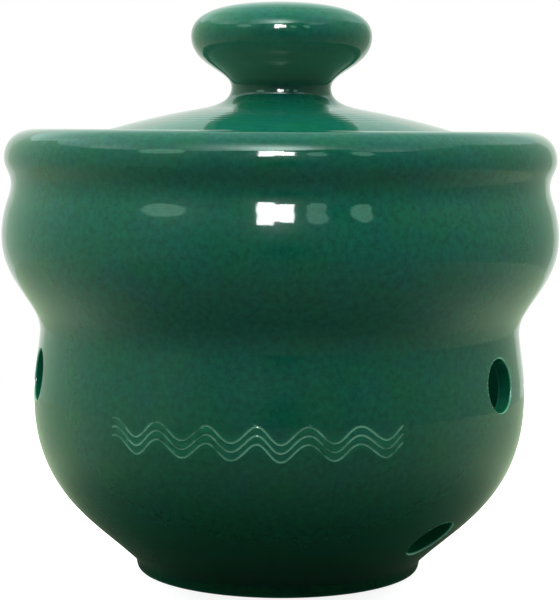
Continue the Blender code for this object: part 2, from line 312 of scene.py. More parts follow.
def turned_clay_tree():
    """Turns a row of points once about Z, as clay is turned on the wheel: nearly round, with throwing rings."""
    tree, given = new_tree("Turned Clay", (
        ("Section", "Object"), ("Rows", "Int"), ("Steps", "Int"), ("Seed", "Float"),
        ("Unevenness", "Float"), ("Unevenness Size", "Float"), ("Round Within", "Float"),
        ("Ring Depth", "Float"), ("Ring Spacing", "Float"), ("Ring Inner Radius", "Float"),
        ("Ring Outer Radius", "Float"), ("Material", "Material"),
    ))
    node = partial(add_node, tree)
    columns = node(MATHS, (given["Steps"], 1), operation="ADD")
    grid = node("GeometryNodeMeshGrid", {
        "Size X": 1.0, "Size Y": 1.0, "Vertices X": columns, "Vertices Y": given["Rows"]})
    place = node("GeometryNodeInputPosition")
    on_grid = node(SEPARATE, (place,))
    turned_share = node(MATHS, (on_grid.outputs["X"], 0.5), operation="ADD")
    turn = node(MATHS, (turned_share, math.tau), operation="MULTIPLY")
    last_row = node(MATHS, (given["Rows"], 1), operation="SUBTRACT")
    row_share = node(MATHS, (on_grid.outputs["Y"], 0.5), operation="ADD")
    near_row = node(MATHS, (row_share, last_row), operation="MULTIPLY")
    row = node(MATHS, (near_row,), operation="ROUND")

    section = node("GeometryNodeObjectInfo", {"Object": given["Section"]})
    sample = node("GeometryNodeSampleIndex", {
        "Geometry": section.outputs["Geometry"], "Value": place, "Index": row}, data_type="FLOAT_VECTOR")
    point = node(SEPARATE, (sample.outputs["Value"],))
    radius, height = point.outputs["X"], point.outputs["Z"]

    across, along = node(MATHS, (turn,), operation="COSINE"), node(MATHS, (turn,), operation="SINE")
    true_place = node(COMBINE, (
        node(MATHS, (radius, across), operation="MULTIPLY"), node(MATHS, (radius, along), operation="MULTIPLY"),
        height))
    noise = node(NOISE, {
        "Vector": true_place, "W": given["Seed"], "Detail": 1.5, "Roughness": 0.45,
        "Scale": node(MATHS, (1.0, given["Unevenness Size"]), operation="DIVIDE")}, noise_dimensions="4D")
    radius_share = node(MATHS, (radius, given["Round Within"]), operation="DIVIDE")
    off_axis = node(MATHS, (radius_share, 1.0), operation="MINIMUM")
    full_dent = node(MATHS, (noise, given["Unevenness"]), operation="MULTIPLY")
    dent = node(MATHS, (full_dent, off_axis), operation="MULTIPLY")
    uneven = node(MATHS, (radius, dent), operation="SUBTRACT")

    ring = node(MATHS, (radius, given["Ring Spacing"]), operation="DIVIDE")
    wave = node(MATHS, (node(MATHS, (ring, math.tau), operation="MULTIPLY"),), operation="COSINE")
    half_depth = node(MATHS, (given["Ring Depth"], 0.5), operation="MULTIPLY")
    trough = node(MATHS, (node(MATHS, (1.0, wave), operation="SUBTRACT"), half_depth), operation="MULTIPLY")
    fade = node(MATHS, (given["Ring Spacing"], 2.0), operation="MULTIPLY")
    edges = []
    for label, operation in (("Ring Inner Radius", "SUBTRACT"), ("Ring Outer Radius", "ADD")):
        faded = node(MATHS, (given[label], fade), operation=operation)
        edges.append(node(MAP_RANGE, {"Value": radius, "From Min": faded, "From Max": given[label]},
                          interpolation_type="SMOOTHSTEP"))
    ringed = node(MATHS, (trough, node(MATHS, edges, operation="MULTIPLY")), operation="MULTIPLY")

    new_place = node(COMBINE, (
        node(MATHS, (uneven, across), operation="MULTIPLY"), node(MATHS, (uneven, along), operation="MULTIPLY"),
        node(MATHS, (height, ringed), operation="SUBTRACT")))
    turned = node("GeometryNodeSetPosition", {"Geometry": grid, "Position": new_place})
    closed = node("GeometryNodeMergeByDistance", {"Geometry": turned, "Distance": MERGE_DISTANCE})
    outward = node("GeometryNodeFlipFaces", {"Mesh": closed})
    smooth = node("GeometryNodeSetShadeSmooth", {"Geometry": outward})
    finish_tree(tree, smooth, given["Material"])
    return tree


def vent_row_tree():
    """Bores a row of three vents, each at its own angle round the pot, with one cutter."""
    tree, given = new_tree("Vent Row", (
        ("Geometry", "Geometry"), ("Cutter", "Object"), *((label, "Float") for label in VENT_LABELS),
        ("Material", "Material"),
    ))
    node = partial(add_node, tree)
    angle = node("GeometryNodeIndexSwitch", {"Index": node("GeometryNodeInputIndex")}, data_type="FLOAT")
    angle.index_switch_items.new()
    for i, label in enumerate(VENT_LABELS):
        tree.links.new(given[label], angle.inputs[i + 1])
    cutter = node("GeometryNodeObjectInfo", {"Object": given["Cutter"]})
    cutters = node("GeometryNodeInstanceOnPoints", {
        "Points": node("GeometryNodePoints", {"Count": len(VENT_LABELS)}),
        "Instance": cutter.outputs["Geometry"], "Rotation": node(COMBINE, {"Z": angle})})
    real = node("GeometryNodeRealizeInstances", {"Geometry": cutters})
    bored = node("GeometryNodeMeshBoolean", {"Mesh 1": given["Geometry"], "Mesh 2": real},
                 operation="DIFFERENCE", solver="EXACT")
    finish_tree(tree, bored, given["Material"])
    return tree


def combed_wave_tree():
    """Cuts parallel wavy grooves into the wall. A ray to the axis finds the wall, so they follow its curves.

    The faces of the grooves are marked with the layer named combed. A groove gets finer towards its ends, where the
    comb was pressed less.
    """
    tree, given = new_tree("Combed Wave", (
        ("Geometry", "Geometry"), ("Lines", "Int"), ("Points", "Int"), ("Height", "Float"),
        ("Line Spacing", "Float"), ("Swing", "Float"), ("Waves", "Float"), ("From Angle", "Float"),
        ("To Angle", "Float"), ("Start Radius", "Float"), ("Groove Width", "Float"), ("Groove Depth", "Float"),
        ("Seed", "Float"), ("Material", "Material"),
    ))
    node = partial(add_node, tree)
    straight = node("GeometryNodeCurvePrimitiveLine", {"Start": (0, 0, 0), "End": (1, 0, 0)})
    stroke = node("GeometryNodeResampleCurve", {"Curve": straight, "Count": given["Points"]})
    teeth = node("GeometryNodeMeshLine", {"Count": given["Lines"], "Offset": (0, 1, 0)})
    strokes = node("GeometryNodeInstanceOnPoints", {"Points": teeth, "Instance": stroke})
    real = node("GeometryNodeRealizeInstances", {"Geometry": strokes})

    on_comb = node(SEPARATE, (node("GeometryNodeInputPosition"),))
    share, tooth = on_comb.outputs["X"], on_comb.outputs["Y"]
    stray = node(COMBINE, {"X": share, "Y": given["Seed"]})
    wander = node(NOISE, {"Vector": stray, "Scale": 4.0, "Detail": 1.0}, noise_dimensions="2D")
    swept = node(MATHS, (given["To Angle"], given["From Angle"]), operation="SUBTRACT")
    angle = node(MATHS, (swept, share, given["From Angle"]), operation="MULTIPLY_ADD")
    waves_gone = node(MATHS, (share, given["Waves"]), operation="MULTIPLY")
    phase = node(MATHS, (node(MATHS, (waves_gone, math.tau), operation="MULTIPLY"),
                         node(MATHS, (wander, 2.0), operation="MULTIPLY")), operation="ADD")
    swing = node(MATHS, (given["Swing"], node(MATHS, (wander, 0.5), operation="ADD")), operation="MULTIPLY")
    last_tooth = node(MATHS, (given["Lines"], 1), operation="SUBTRACT")
    middle = node(MATHS, (last_tooth, 0.5), operation="MULTIPLY")
    from_middle = node(MATHS, (tooth, middle), operation="SUBTRACT")
    level = node(MATHS, (from_middle, given["Line Spacing"], given["Height"]), operation="MULTIPLY_ADD")
    height = node(MATHS, (node(MATHS, (phase,), operation="SINE"), swing, level), operation="MULTIPLY_ADD")

    side = node(MATHS, (angle,), operation="SINE")
    front = node(MATHS, (node(MATHS, (angle,), operation="COSINE"), -1.0), operation="MULTIPLY")
    start = node(COMBINE, (
        node(MATHS, (side, given["Start Radius"]), operation="MULTIPLY"),
        node(MATHS, (front, given["Start Radius"]), operation="MULTIPLY"), height))
    inward = node(COMBINE, (
        node(MATHS, (side, -1.0), operation="MULTIPLY"), node(MATHS, (front, -1.0), operation="MULTIPLY")))
    wall = node("GeometryNodeRaycast", {
        "Target Geometry": given["Geometry"], "Source Position": start, "Ray Direction": inward,
        "Ray Length": given["Start Radius"]})
    groove_radius = node(MATHS, (given["Groove Width"], 0.5), operation="MULTIPLY")
    lift = node(MATHS, (groove_radius, given["Groove Depth"]), operation="SUBTRACT")
    raised = node(VECTOR_MATHS, {0: wall.outputs["Hit Normal"], "Scale": lift}, operation="SCALE")
    on_wall = node(VECTOR_MATHS, (wall.outputs["Hit Position"], raised), operation="ADD")
    laid = node("GeometryNodeSetPosition", {"Geometry": real, "Position": on_wall})

    gone = node("GeometryNodeSplineParameter").outputs["Factor"]
    off_middle = node(MATHS, (node(MATHS, (gone, 0.5), operation="SUBTRACT"),), operation="ABSOLUTE")
    to_end = node(MATHS, (0.5, off_middle), operation="SUBTRACT")
    risen = node(MATHS, (to_end, PRESSURE_RISE), operation="MULTIPLY")
    pressure = node(MATHS, (node(MATHS, (risen, 1.0), operation="MINIMUM"), LEAST_PRESSURE), operation="MAXIMUM")
    pressed = node("GeometryNodeSetCurveRadius", {"Curve": laid, "Radius": pressure})
    tip = node("GeometryNodeCurvePrimitiveCircle", {"Resolution": TOOTH_FACETS, "Radius": groove_radius})
    tines = node("GeometryNodeCurveToMesh", {"Curve": pressed, "Profile Curve": tip, "Fill Caps": True})
    marked = node("GeometryNodeStoreNamedAttribute", {"Geometry": tines, "Name": "combed", "Value": 1.0},
                  data_type="FLOAT", domain="FACE")
    combed = node("GeometryNodeMeshBoolean", {"Mesh 1": given["Geometry"], "Mesh 2": marked},
                  operation="DIFFERENCE", solver="EXACT")
    finish_tree(tree, combed, given["Material"])
    return tree


def add_tree(piece, tree, values):
    """Puts a tree on a piece as a modifier, with its inputs set by their identifiers."""
    modifier = piece.modifiers.new(tree.name, "NODES")
    modifier.node_group = tree
    for socket in tree.interface.items_tree:
        if socket.in_out == "INPUT" and socket.name in values:
            modifier[socket.identifier] = values[socket.name]


def make_plain(piece, guides):
    """Replaces a piece's modifiers by the mesh that they make, and removes the guides that they read."""
    graph = bpy.context.evaluated_depsgraph_get()
    mesh = bpy.data.meshes.new_from_object(piece.evaluated_get(graph))
    if not mesh.polygons:
        raise RuntimeError(f"{piece.name} came out empty")
    piece.modifiers.clear()
    piece.data = mesh
    mesh.name = piece.name
    for guide_object in guides:
        bpy.data.objects.remove(guide_object, do_unlink=True)


# Vents


def wall_at(rows, height):
    """The outer wall's radius at a height, the direction out of it there and its bend up the slope, in 1/m."""
    crest = int(rows[:, 1].argmax())
    wall = rows[crest:][::-1]
    belly = wall[np.argmax(wall[:, 0] > wall[:, 0].max() / 2):]
    heights, radii = belly[:, 1], belly[:, 0]
    order = np.argsort(heights)
    reach = 8.0 * MM
    low, here, high = (np.interp(height + step, heights[order], radii[order]) for step in (-reach, 0.0, reach))
    slope = (high - low) / (2 * reach)
    second = (high - 2 * here + low) / reach**2
    outward = Vector((1.0, -slope)).normalized()
    return here, outward, second / (1 + slope**2) ** 1.5


def vent_section(radius, lip, proud, wall):
    """Half a cutter's section about the bore, with the wall's outer face at height 0 and a flare at each end."""
    flare = radius + lip
    widest = flare + lip
    past = proud + lip
    handle = LIP_HANDLE * lip
    outer = interpolate_bezier(Vector((flare, proud)), Vector((flare - handle, proud)),
                               Vector((radius, proud - lip + handle)), Vector((radius, proud - lip)), LIP_ROWS)
    inner = [Vector((point.x, -wall - point.y)) for point in reversed(outer)]
    far = past + 2 * lip
    return [Vector((widest, far)), Vector((widest, past)), *outer, *inner,
            Vector((widest, -wall - past)), Vector((widest, -wall - far))]


def vent_cutter(name, rows, height, pot):
    """A closed cutter for the vent at the front. Each ring of it follows the wall, so the lip is even."""
    radius, outward, up_the_slope = wall_at(rows, height)
    round_the_pot = -outward.x / radius
    shape = bmesh.new()
    rings = []
    for section in vent_section(pot.vent_radius, pot.vent_lip, pot.vent_lip_proud, pot.wall):
        ring = []
        for i in range(pot.vent_steps):
            turn = math.tau * i / pot.vent_steps
            x, y = section.x * math.cos(turn), section.x * math.sin(turn)
            lift = (round_the_pot * x * x + up_the_slope * y * y) / 2
            ring.append(shape.verts.new((x, y, section.y + lift)))
        rings.append(ring)
    for upper, lower in zip(rings, rings[1:]):
        for i in range(pot.vent_steps):
            after = (i + 1) % pot.vent_steps
            shape.faces.new((lower[i], lower[after], upper[after], upper[i]))
    shape.faces.new(rings[0])
    shape.faces.new(reversed(rings[-1]))
    mesh = bpy.data.meshes.new(name)
    shape.to_mesh(mesh)
    shape.free()
    out_of_the_wall = Vector((0.0, -outward.x, outward.y))
    turn = out_of_the_wall.to_track_quat("Z", "Y").to_matrix().to_4x4()
    mesh.transform(Matrix.Translation((0.0, -radius, height)) @ turn)
    mesh.shade_smooth()
    return link(name, mesh)


# Finish of a turned piece


def store_glaze_depth(mesh, painted_underside_light):
    """Stores how deep the glaze lies at each vertex: 0 where it is thin on an edge, 1 in a hollow, 0.5 between.

    Two more layers hold where the glaze is painted pale: on the tightest edges, as clay showing through and as a
    painted highlight, and on overhangs, as painted light under the knob, where the given share is for a face that
    looks straight down.
    """
    count = len(mesh.vertices)
    places, normals = np.empty(count * 3), np.empty(count * 3)
    mesh.vertices.foreach_get("co", places)
    mesh.vertices.foreach_get("normal", normals)
    places, normals = places.reshape(-1, 3), normals.reshape(-1, 3)
    ends = np.empty(len(mesh.edges) * 2, int)
    mesh.edges.foreach_get("vertices", ends)
    a, b = ends.reshape(-1, 2).T
    gap = places[a] - places[b]
    square = np.maximum((gap**2).sum(1), MERGE_DISTANCE**2)
    bend, tightest = np.zeros(count), np.zeros(count)
    for end, sign in ((a, 2.0), (b, -2.0)):
        along = np.clip(sign * (normals[end] * gap).sum(1) / square, -LARGEST_BEND, LARGEST_BEND)
        bend += np.bincount(end, along, count)
        np.maximum.at(tightest, end, along)
    links = np.maximum(np.bincount(a, minlength=count) + np.bincount(b, minlength=count), 1)
    bend /= links
    start, full = GLAZE_BENDS
    depth = 0.5 - 0.5 * np.sign(bend) * np.clip((np.abs(bend) - start) / (full - start), 0, 1)
    for _ in range(GLAZE_SOFTENING):
        total = np.bincount(a, depth[b], count) + np.bincount(b, depth[a], count)
        depth = 0.5 * depth + 0.5 * total / links
    combed = mesh.attributes.get("combed")
    for face in mesh.polygons if combed else ():
        if combed.data[face.index].value:
            tightest[list(face.vertices)] = 0.0
    low, high = TIGHT_BENDS
    # The overhang layer is painted light, which makes the lid paler where it looks down
    layers = {
        "glaze_depth": depth, "tight_edge": np.clip((tightest - low) / (high - low), 0, 1),
        "overhang": painted_underside_light * np.minimum(normals[:, 2], 0)**2,
    }
    for name, values in layers.items():
        layer = mesh.attributes.new(name, "FLOAT", "POINT")
        layer.data.foreach_set("value", values.astype(np.float32))


def bare_faces(mesh, is_bare, clay):
    """Gives the faces that were wiped clean before firing the clay's material."""
    mesh.materials.append(clay)
    slot = len(mesh.materials) - 1
    for face in mesh.polygons:
        if is_bare(face.center, face.normal):
            face.material_index = slot


def make_piece(name, node, rows, values, later_trees=(), guides=(), painted_underside_light=0.0):
    """Turns a piece on its section with the Turned Clay tree and the trees that cut it afterwards."""
    section = guide(f"{name}_section", [(radius, 0.0, height) for radius, height in rows])
    piece = link(name, bpy.data.meshes.new(name))
    add_tree(piece, turned_clay_tree(), {"Section": section, "Rows": len(rows), **values})
    for tree, inputs in later_trees:
        add_tree(piece, tree, inputs)
    make_plain(piece, (section, *guides))
    mesh = piece.data
    mesh.shade_smooth()
    mesh.set_sharp_from_angle(angle=SHARP_ANGLE)
    store_glaze_depth(mesh, painted_underside_light)
    return piece


# Materials


def glossy_green_glaze(settings):
    """Fired stoneware glaze, poured over the whole pot: a clear, deep green glass over pale clay.

    To the eye it is a hard gloss over soft mottling, blue-green where it lies thick, lighter where it ran thin
    over an edge, darker towards the foot and lighter at the top. The tightest edges and the grooves are painted
    pale, as clay showing through and as a painted highlight, and the lid where it looks down is painted light.
    """
    material = bpy.data.materials.new("Glossy Green Stoneware Glaze")
    material.use_nodes = True
    tree = material.node_tree
    node = partial(add_node, tree)
    shader = tree.nodes["Principled BSDF"]
    shader.inputs["IOR"].default_value = 1.52
    shader.inputs["Metallic"].default_value = 0.0
    place = node("ShaderNodeTexCoord").outputs["Object"]
    height = node(SEPARATE, (place,)).outputs["Z"]

    # Green with bluer clouds, mottled and speckled
    clouds = node(NOISE, {"Vector": place, "Scale": 1 / CLOUD_SIZE, "Detail": 4.0, "Roughness": 0.68})
    mottle = node(NOISE, {"Vector": place, "Scale": 1 / MOTTLE_SIZE, "Detail": 3.0, "Roughness": 0.6})
    specks = node(NOISE, {"Vector": place, "Scale": 1 / SPECK_SIZE, "Detail": 1.0})
    broad = node(MAP_RANGE, {"Value": clouds, "From Min": 0.32, "From Max": 0.68})
    body = node(MIX, {0: broad, 6: (*settings.green, 1.0), 7: (*settings.blue_green, 1.0)}, data_type="RGBA")
    fine = node(MAP_RANGE, {"Value": mottle, "From Min": 0.3, "From Max": 0.7, "To Min": 0.8, "To Max": 1.2})
    dots = node(MAP_RANGE, {"Value": specks, "From Min": 0.6, "From Max": 0.72, "To Min": 1.0, "To Max": 0.82})
    tone = node(MATHS, (fine, dots), operation="MULTIPLY")
    mottled = node(VECTOR_MATHS, {0: body.outputs[2], "Scale": tone}, operation="SCALE")

    # Darker towards the foot and lighter at the top
    up_from_foot = node(MAP_RANGE, {"Value": height, "From Min": 0.0, "From Max": settings.darkening_height},
               interpolation_type="SMOOTHSTEP")
    darkened = node(MIX, {0: 1.0, 6: (*settings.foot_tint, 1.0), 7: mottled},
                    data_type="RGBA", blend_type="MULTIPLY")
    ran = node(MIX, {0: up_from_foot, 6: darkened.outputs[2], 7: mottled}, data_type="RGBA")
    top = node(MAP_RANGE, {
        "Value": height, "From Min": settings.top_range[0], "From Max": settings.top_range[1], "To Min": 1.0,
        "To Max": settings.top_gain})
    lightened = node(VECTOR_MATHS, {0: ran.outputs[2], "Scale": top}, operation="SCALE")

    # Thin on edges
    depth = node(ATTRIBUTE, attribute_name="glaze_depth").outputs["Fac"]
    wobble = node(MATHS, (node(MATHS, (mottle, 0.5), operation="SUBTRACT"), 0.16), operation="MULTIPLY")
    uneven_depth = node(MATHS, (depth, wobble), operation="ADD")
    thin = node(MAP_RANGE, {"Value": uneven_depth, "From Min": 0.42, "From Max": 0.02})
    edged = node(MIX, {0: thin, 6: lightened, 7: (*settings.thin_green, 1.0)}, data_type="RGBA")

    # Painted pale above the foot on the tightest edges and in grooves, as clay showing through and as a painted
    # highlight, and on overhangs, as painted light under the knob
    edge = node(ATTRIBUTE, attribute_name="tight_edge").outputs["Fac"]
    overhang = node(ATTRIBUTE, attribute_name="overhang").outputs["Fac"]
    combed = node(ATTRIBUTE, attribute_name="combed").outputs["Fac"]
    edge_breaks_and_glints = node(MAP_RANGE, {"Value": edge, "From Min": 0.72, "From Max": 1.0, "To Max": 0.75})
    above_foot = node(MAP_RANGE, {
        "Value": height, "From Min": settings.foot_height, "From Max": 1.5 * settings.foot_height})
    stroke_paleness = node(MAP_RANGE, {"Value": clouds, "From Min": 0.38, "From Max": 0.6, "To Min": 0.06, "To Max": 0.6})
    broken_and_glinting_edge = node(MATHS, (edge_breaks_and_glints, above_foot), operation="MULTIPLY")
    scraped_and_glinting_stroke = node(MATHS, (combed, stroke_paleness), operation="MULTIPLY")
    pale_edges_and_lit_underside = node(MATHS, (overhang, broken_and_glinting_edge), operation="MAXIMUM")
    pale_and_painted_light = node(MATHS, (pale_edges_and_lit_underside, scraped_and_glinting_stroke), operation="MAXIMUM")
    pale = node(MIX, {0: pale_and_painted_light, 6: edged.outputs[2], 7: (*settings.broken_glaze_and_painted_light, 1.0)}, data_type="RGBA")

    # Deeper in hollows
    pool = node(MAP_RANGE, {"Value": uneven_depth, "From Min": 0.6, "From Max": 1.0, "To Min": 1.0, "To Max": 0.85})
    pooled = node(VECTOR_MATHS, {0: pale.outputs[2], "Scale": pool}, operation="SCALE")
    tree.links.new(pooled.outputs[0], shader.inputs["Base Color"])

    gloss = node(MAP_RANGE, {"Value": clouds, "From Min": 0.3, "From Max": 0.7, "To Min": 0.035, "To Max": 0.08})
    tree.links.new(gloss.outputs[0], shader.inputs["Roughness"])
    ripple = node(NOISE, {"Vector": place, "Scale": 1 / RIPPLE_SIZE, "Detail": 1.5})
    ripples = node(MATHS, (ripple, settings.ripple), operation="MULTIPLY")
    relief = node(MATHS, (mottle, MOTTLE_RELIEF, ripples), operation="MULTIPLY_ADD")
    bump = node("ShaderNodeBump", {"Height": relief, "Strength": 1.0, "Distance": 1.0})
    tree.links.new(bump.outputs[0], shader.inputs["Normal"])
    return material


def bare_stoneware(settings):
    """Unglazed stoneware, wiped clean with a sponge before firing: matt, buff, with fine grog grains."""
    material = bpy.data.materials.new("Bare Fired Stoneware")
    material.use_nodes = True
    tree = material.node_tree
    node = partial(add_node, tree)
    shader = tree.nodes["Principled BSDF"]
    shader.inputs["Roughness"].default_value = 0.85
    place = node("ShaderNodeTexCoord").outputs["Object"]
    grog = node(NOISE, {"Vector": place, "Scale": 1 / GROG_SIZE, "Detail": 3.0, "Roughness": 0.7})
    stain = node(NOISE, {"Vector": place, "Scale": 1 / STAIN_SIZE, "Detail": 2.0})
    both = node(MATHS, (node(MATHS, (grog, stain), operation="ADD"), 0.5), operation="MULTIPLY")
    tone = node(MAP_RANGE, {"Value": both, "From Min": 0.35, "From Max": 0.65})
    colour = node(MIX, {0: tone, 6: (*settings.clay_dark, 1.0), 7: (*settings.clay, 1.0)}, data_type="RGBA")
    tree.links.new(colour.outputs[2], shader.inputs["Base Color"])
    bump = node("ShaderNodeBump", {"Height": grog, "Strength": 1.0, "Distance": GROG_RELIEF})
    tree.links.new(bump.outputs[0], shader.inputs["Normal"])
    return material


def shared(make, settings):
    """A material that both pieces use, made once."""
    found = bpy.context.scene.get(make.__name__)
    if found is None:
        found = make(settings)
        bpy.context.scene[make.__name__] = found
    return found


# Stage


def table_material(settings):
    """Matt white paper: it renders white for the camera, keeps a soft shadow, and is dim in front of the pot.

    Its colour is painted shade in front of the pot and painted light beside and behind it, which the table throws
    back onto the pot. The glaze mirrors it as the room lights it: dark under the pot, and paler from the front round
    to the back.
    """
    material = bpy.data.materials.new("White Paper Sweep")
    material.use_nodes = True
    tree = material.node_tree
    node = partial(add_node, tree)
    shader = tree.nodes["Principled BSDF"]
    shader.inputs["Roughness"].default_value = 1.0
    shader.inputs["Specular IOR Level"].default_value = 0.0
    place = node("ShaderNodeTexCoord").outputs["Object"]
    off_axis = node(VECTOR_MATHS, (place,), operation="LENGTH").outputs["Value"]
    depth = node(SEPARATE, (place,)).outputs["Y"]
    round_the_pot = node(MATHS, (depth, off_axis), operation="DIVIDE")

    # From -1 straight in front of the pot to 1 straight behind it
    beside = node(MAP_RANGE, {"Value": round_the_pot, "From Min": -0.95, "From Max": -0.35},
                  interpolation_type="SMOOTHSTEP")
    behind = node(MAP_RANGE, {"Value": round_the_pot, "From Min": -0.95, "From Max": 0.3},
                  interpolation_type="SMOOTHSTEP")
    # Painted shade in front of the pot and painted light beside and behind it, which the table throws back onto the
    # pot
    paper = node(MIX, {0: beside, 6: (*settings.paper, 1.0), 7: (*settings.paper_lit_beside, 1.0)}, data_type="RGBA")
    tree.links.new(paper.outputs[2], shader.inputs["Base Color"])
    lit_by_room = node(MIX, {0: behind, 6: (*settings.table_front, 1.0), 7: (*settings.table_back, 1.0)},
                       data_type="RGBA")
    in_shade = node(MAP_RANGE, {
        "Value": off_axis, "From Min": SHADE_RADII[0], "From Max": SHADE_RADII[1], "To Min": 0.1},
        interpolation_type="SMOOTHSTEP")

    paths = node("ShaderNodeLightPath").outputs
    glow = node(MATHS, (paths["Is Camera Ray"], settings.paper_glow), operation="MULTIPLY")
    white = node("ShaderNodeEmission", {"Strength": glow})
    lit = node("ShaderNodeAddShader", (shader, white))
    mirrored = node("ShaderNodeEmission", {"Color": lit_by_room.outputs[2], "Strength": in_shade})
    beyond = node(MATHS, (paths["Is Glossy Ray"], paths["Is Transmission Ray"]), operation="MAXIMUM")
    both = node("ShaderNodeMixShader", (beyond, lit, mirrored))
    tree.links.new(both.outputs[0], tree.nodes["Material Output"].inputs["Surface"])
    return material


def direction(azimuth, elevation):
    """The unit vector that points from the pot to an azimuth, from the camera round to the right, and elevation."""
    return Vector((math.sin(azimuth) * math.cos(elevation), -math.cos(azimuth) * math.cos(elevation),
                   math.sin(elevation)))


def sum_glows(tree, place, glows):
    """Light from soft round patches of the room, each of which has fallen to a third at its spread."""
    node = partial(add_node, tree)
    total = 0.0
    for azimuth, elevation, spread, radiance in glows:
        towards = direction(math.radians(azimuth), math.radians(elevation))
        facing = node(VECTOR_MATHS, (place, towards), operation="DOT_PRODUCT").outputs["Value"]
        off = node(MATHS, (facing, 1.0), operation="SUBTRACT")
        fall = node(MATHS, (off, 1 / (1 - math.cos(math.radians(spread)))), operation="MULTIPLY")
        glow = node(MATHS, (node(MATHS, (fall,), operation="EXPONENT"), radiance), operation="MULTIPLY")
        total = node(MATHS, (total, glow), operation="ADD")
    return total


def by_azimuth(tree, azimuth, stops):
    """A colour that follows the azimuth through the stops, each given in degrees with its linear colour."""
    node = add_node(tree, "ShaderNodeValToRGB", (azimuth,))
    ramp = node.color_ramp
    while len(ramp.elements) < len(stops):
        ramp.elements.new(0.5)
    for element, (angle, colour) in zip(ramp.elements, stops):
        element.position = 0.5 + angle / 360
        element.color = (*colour, 1.0)
    return node


def studio_world():
    """A dim room in front of the pot, brighter round its sides, and a white wall behind it. The camera sees white."""
    world = bpy.data.worlds.new("Studio Room")
    bpy.context.scene.world = world
    world.use_nodes = True
    tree = world.node_tree
    node = partial(add_node, tree)
    background = tree.nodes["Background"]
    place = node("ShaderNodeTexCoord").outputs["Generated"]
    x, y, z = node(SEPARATE, (place,)).outputs
    front = node(MATHS, (y, -1.0), operation="MULTIPLY")
    turn = node(MATHS, (x, front), operation="ARCTAN2")
    azimuth = node(MATHS, (turn, 1 / math.tau, 0.5), operation="MULTIPLY_ADD")
    elevation = node(MATHS, (node(MATHS, (z,), operation="ARCSINE"),), operation="DEGREES")

    # A ramp holds values up to 1, so the ceiling's edge is held as a share of a right angle
    walls = by_azimuth(tree, azimuth, [(angle, linear(colour)) for angle, colour in ROOM_WALLS])
    edge_share = by_azimuth(tree, azimuth, [(angle, (degrees / 90,) * 3) for angle, degrees in CEILING_EDGE])
    edge = node(MATHS, (edge_share, 90.0), operation="MULTIPLY")
    light = by_azimuth(tree, azimuth, [(angle, (radiance,) * 3) for angle, radiance in CEILING_LIGHT])
    above = node(MAP_RANGE, {
        "Value": elevation, "From Min": edge,
        "From Max": node(MATHS, (edge, EDGE_SOFTNESS), operation="ADD")}, interpolation_type="SMOOTHSTEP")
    towards_top = node(MAP_RANGE, {
        "Value": elevation, "From Min": edge, "From Max": 90.0, "To Min": 1.0, "To Max": CEILING_TOP})
    even = node(MATHS, (light, towards_top), operation="MULTIPLY")
    patchy = node(MATHS, (even, sum_glows(tree, place, CEILING_GLOWS)), operation="ADD")
    ceiling = node(MATHS, (patchy, CEILING_LEAST), operation="MAXIMUM")
    bright = node(VECTOR_MATHS, {0: GLOW_TINT, "Scale": ceiling}, operation="SCALE")
    hazy = node(VECTOR_MATHS, (walls, sum_glows(tree, place, WALL_GLOWS)), operation="ADD")
    room = node(MIX, {0: above, 6: hazy, 7: bright}, data_type="RGBA")
    seen_directly = node("ShaderNodeLightPath").outputs["Is Camera Ray"]
    seen = node(MIX, {0: seen_directly, 6: room.outputs[2], 7: (1.0, 1.0, 1.0, 1.0)}, data_type="RGBA")
    tree.links.new(seen.outputs[2], background.inputs["Color"])
    background.inputs["Strength"].default_value = 1.0


def area_lamp(name, placed, mirrored=False, colour=(1.0, 1.0, 1.0), shape="RECTANGLE"):
    """A lamp placed and sized by angles in degrees. It is either mirrored in the glaze or lights it.

    A mirrored lamp shows in the first reflection, and not in a reflection of the glaze in the glaze.
    """
    azimuth, elevation, width, height, radiance = placed
    lamp = bpy.data.lights.new(name, "AREA")
    lamp.shape = shape
    lamp.size = 2 * LAMP_DISTANCE * math.tan(math.radians(width) / 2)
    lamp.size_y = 2 * LAMP_DISTANCE * math.tan(math.radians(height) / 2)
    lamp.energy = radiance * math.pi * lamp.size * lamp.size_y
    lamp.color = colour
    light = link(name, lamp)
    towards = direction(math.radians(azimuth), math.radians(elevation))
    turn = towards.to_track_quat("Z", "Y").to_matrix().to_4x4()
    light.matrix_world = Matrix.Translation(LAMP_TARGET + towards * LAMP_DISTANCE) @ turn
    light.visible_camera = False
    light.visible_diffuse = not mirrored
    light.visible_glossy = mirrored
    if mirrored:
        lamp.use_nodes = True
        tree = lamp.node_tree
        depth = add_node(tree, "ShaderNodeLightPath").outputs["Ray Depth"]
        first = add_node(tree, MATHS, (depth, FIRST_MIRROR_DEPTH), operation="LESS_THAN")
        tree.links.new(first.outputs[0], tree.nodes["Emission"].inputs["Strength"])


def fill_lamp(settings):
    """A weak lamp on the axis, inside the pot, so that its wall shows through the vents."""
    lamp = bpy.data.lights.new("fill_lamp", "POINT")
    lamp.shadow_soft_size = settings.fill_radius
    lamp.energy = settings.fill_power
    light = link("fill_lamp", lamp)
    light.location = (0.0, 0.0, settings.fill_height)
    light.visible_camera = False
    light.visible_glossy = False


def place_camera(settings):
    """The camera where the photograph was taken from, looking a little down."""
    camera = bpy.data.cameras.new("photo_camera")
    camera.lens = settings.lens
    camera.sensor_width = SENSOR_WIDTH
    seat = link("photo_camera", camera)
    tilt = Matrix.Rotation(math.pi / 2 - settings.tilt, 4, "X")
    roll = Matrix.Rotation(settings.roll, 4, "Z")
    seat.matrix_world = Matrix.Translation(settings.camera_place) @ tilt @ roll
    bpy.context.scene.camera = seat


# Settings


